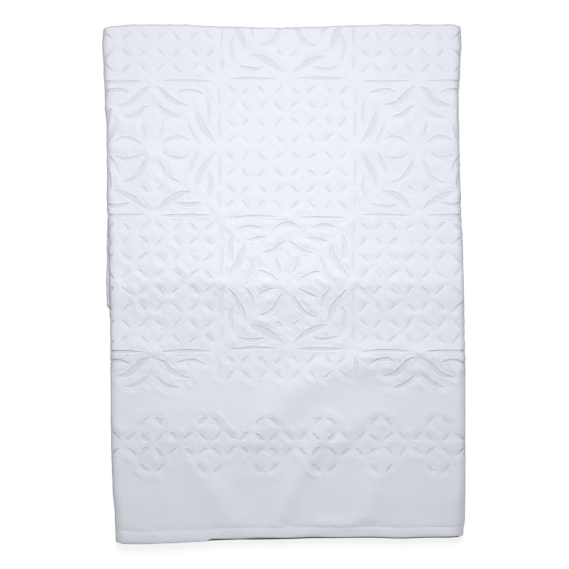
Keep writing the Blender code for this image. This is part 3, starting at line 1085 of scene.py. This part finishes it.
def ground_columns(left, right):
    """Places across the cloth of the ground mesh's columns, for a row between two side folds."""
    margin = HEM_PLACES[-1]
    half = CLOTH_WIDTH / 2
    flat_left, flat_right = left + LEFT_TURN, right - RIGHT_TURN
    past_left, past_right = flat_left - LEFT_ARC, flat_right + RIGHT_ARC
    return np.concatenate((
        -half + HEM_PLACES[:-1],
        spread_places(-half + margin, past_left, THIRD_COLUMNS),
        spread_places(past_left, flat_left, TURN_COLUMNS),
        spread_places(flat_left, flat_right, MIDDLE_COLUMNS),
        spread_places(flat_right, past_right, TURN_COLUMNS),
        spread_places(past_right, half - margin, THIRD_COLUMNS),
        half - HEM_PLACES[::-1],
    ))


def ground_grid():
    """Places across and along of the ground cloth's mesh, whose columns and rows follow the folds."""
    across, along = [], []
    for row, guess in enumerate(ground_rows(EVEN_AXIS)):
        left, right = sides_along(guess, EVEN_AXIS)
        columns = ground_columns(left, right)
        across.append(columns)
        along.append(ground_rows(axis_at(columns, left, right))[row])
    return np.array(across), np.array(along)


def ground_cloth(material):
    """The ground cloth as one closed thin sheet, twice as thick at its turned hem."""
    across, along = ground_grid()
    inside = hem_distance(across, along)
    hem = 1 - smooth_step((inside - TURNED_HEM) / TURNED_HEM_FADE)
    edge = np.exp(-inside / GROUND_EDGE_ROUNDING)
    outer = GROUND_LIFT - GROUND_EDGE_DROP * edge
    inner = GROUND_BACK_LIFT + (GROUND_HEM_BACK_LIFT - GROUND_BACK_LIFT) * hem
    inner = inner + (outer - inner - GROUND_EDGE_THICKNESS) * edge
    flat = pairs(across.ravel(), along.ravel())
    points = np.concatenate([place(flat, lift.ravel()) for lift in (outer, inner)])
    count = across.size
    number = np.arange(count).reshape(across.shape)
    corners = (number[:-1, :-1], number[:-1, 1:], number[1:, 1:], number[1:, :-1])
    front = np.stack(corners, axis=-1).reshape(-1, 4)
    back = front[:, ::-1] + count
    border = np.concatenate((number[0, :], number[1:, -1], number[-1, -2::-1], number[-2:0:-1, 0]))
    following = np.roll(border, -1)
    sides = np.stack((following, border, border + count, following + count), axis=-1)
    polygons = np.concatenate((front, back, sides))
    return new_piece("ground_cloth", points, polygons, np.concatenate((flat, flat)), material)


# Bumps of the woven threads: how many noise cells a metre across and along the cloth, and height in mm
THREAD_LAYERS = table(
    "across along height",
    (900, 900, 0.20),
    (70, 650, 0.30),
    (650, 55, 0.30),
    (110, 110, 0.85),
)
WEAVE_STRENGTH = 0.5

COTTON = {"Roughness": 0.92, "Specular IOR Level": 0.25, "Sheen Weight": 0.25, "Sheen Roughness": 0.5}
COTTON_COLOUR = (0.81, 0.83, 0.90)
# The ground cloth is greyer than the cutwork cloth: partly its own thinner cloth, partly painted shade of the
# openings it shows through.
GROUND_TONE_AND_PAINTED_SHADE = (0.724, 0.744, 0.819)
FLOOR_COLOUR = (0.25, 0.25, 0.25)
FLOOR_PAPER = {"Roughness": 0.9, "Specular IOR Level": 0.1, "Emission Color": (1, 1, 1, 1)}
FLOOR_PAPER["Emission Strength"] = 0.85


def set_values(node, values):
    for socket, value in values.items():
        node.inputs[socket].default_value = value


def new_material(name, colour, values):
    """A material with a base colour and values for named sockets of its shader."""
    material = bpy.data.materials.new(name)
    material.use_nodes = True
    set_values(material.node_tree.nodes["Principled BSDF"], {"Base Color": (*colour, 1.0), **values})
    return material


def cotton(name, colour):
    """White cotton whose weave and thread unevenness are bumps that lie along the flat cloth."""
    material = new_material(name, colour, COTTON)
    nodes, links = material.node_tree.nodes, material.node_tree.links
    flat = nodes.new("ShaderNodeUVMap")
    flat.uv_map = "cloth"
    normal = None
    for layer in THREAD_LAYERS:
        stretched = nodes.new("ShaderNodeMapping")
        set_values(stretched, {"Scale": (layer.across, layer.along, 1.0)})
        links.new(flat.outputs["UV"], stretched.inputs["Vector"])
        weave = nodes.new("ShaderNodeTexNoise")
        set_values(weave, {"Scale": 1.0, "Detail": 2.0})
        links.new(stretched.outputs["Vector"], weave.inputs["Vector"])
        bumps = nodes.new("ShaderNodeBump")
        set_values(bumps, {"Distance": layer.height * MM, "Strength": WEAVE_STRENGTH})
        links.new(weave.outputs["Fac"], bumps.inputs["Height"])
        if normal is not None:
            links.new(normal, bumps.inputs["Normal"])
        normal = bumps.outputs["Normal"]
    links.new(normal, nodes["Principled BSDF"].inputs["Normal"])
    return material


FLOOR_REACH = 30.0
FLOOR_DROP = 0.0002  # keeps the floor just under the cloth
WORLD = {"Color": (0.97, 0.98, 1.0, 1.0), "Strength": 0.13}
SUN_HEIGHT = 43  # degrees above the floor, from the far end
SUN_ENERGY = 1.08
SUN_ANGLE = 14

# Lights over and under the cloth: place along, height, width, length and power. The weak one below stands for
# what the floor throws back on the folded edges.
AREA_LIGHTS = {
    "overhead": (0.31, 1.40, 0.7, 0.5, 13.9),
    "bounce": (0.0, -0.3, 4.0, 4.0, 18.0),
}

PHOTO_WIDTH = 569 * 2.16 * MM  # 569 pixels of 2.16 mm
CAMERA_HEIGHT = 6.0
CAMERA_CENTRE = (0.001, -0.001)
SENSOR_WIDTH = 36.0


def make_stage():
    corners = [(x * FLOOR_REACH, y * FLOOR_REACH, 0) for x, y in ((-1, -1), (1, -1), (1, 1), (-1, 1))]
    mesh = bpy.data.meshes.new("floor")
    mesh.from_pydata(corners, [], [(0, 1, 2, 3)])
    mesh.materials.append(new_material("floor_paper", FLOOR_COLOUR, FLOOR_PAPER))
    floor = new_object("floor", mesh)
    floor.location.z = -FLOOR_DROP
    floor.visible_diffuse = False
    floor.visible_shadow = False
    world = bpy.data.worlds.new("studio")
    world.use_nodes = True
    set_values(world.node_tree.nodes["Background"], WORLD)
    bpy.context.scene.world = world


def new_lamp(light, direction):
    """A lamp of a light, turned to shine in a direction."""
    lamp = new_object(light.name, light)
    lamp.rotation_mode = "QUATERNION"
    lamp.rotation_quaternion = Vector(direction).to_track_quat("-Z", "Y")
    return lamp


def make_lights():
    sun = bpy.data.lights.new("key", "SUN")
    sun.energy = SUN_ENERGY
    sun.angle = math.radians(SUN_ANGLE)
    new_lamp(sun, (0, -1, -math.tan(math.radians(SUN_HEIGHT))))
    for name, (along, height, width, length, power) in AREA_LIGHTS.items():
        light = bpy.data.lights.new(name, "AREA")
        light.shape = "RECTANGLE"
        light.size, light.size_y = width, length
        light.energy = power
        lamp = new_lamp(light, (0, 0, -height))
        lamp.location = (0, along, height)
        lamp.visible_camera = height > 0


def make_camera():
    data = bpy.data.cameras.new("camera")
    data.sensor_width = SENSOR_WIDTH
    data.lens = SENSOR_WIDTH * CAMERA_HEIGHT / PHOTO_WIDTH
    data.clip_start, data.clip_end = 0.1, 100
    camera = new_object("camera", data)
    camera.location = (*CAMERA_CENTRE, CAMERA_HEIGHT)
    bpy.context.scene.camera = camera


def main():
    white = cotton("white_cotton", COTTON_COLOUR)
    # The ground cloth's material carries painted shade for the openings it shows through, on top of its own
    # slightly greyer tone.
    ground = ground_cloth(cotton("ground_cotton_with_painted_shade", GROUND_TONE_AND_PAINTED_SHADE))
    cutwork = cutwork_pieces(white)
    cutwork.append(hem_stitches(white))
    for piece in [ground, *cutwork]:
        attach(piece, "root")
    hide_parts("bedspread")
    make_stage()
    make_lights()
    make_camera()
    bpy.context.scene.view_settings.view_transform = "Standard"


main()
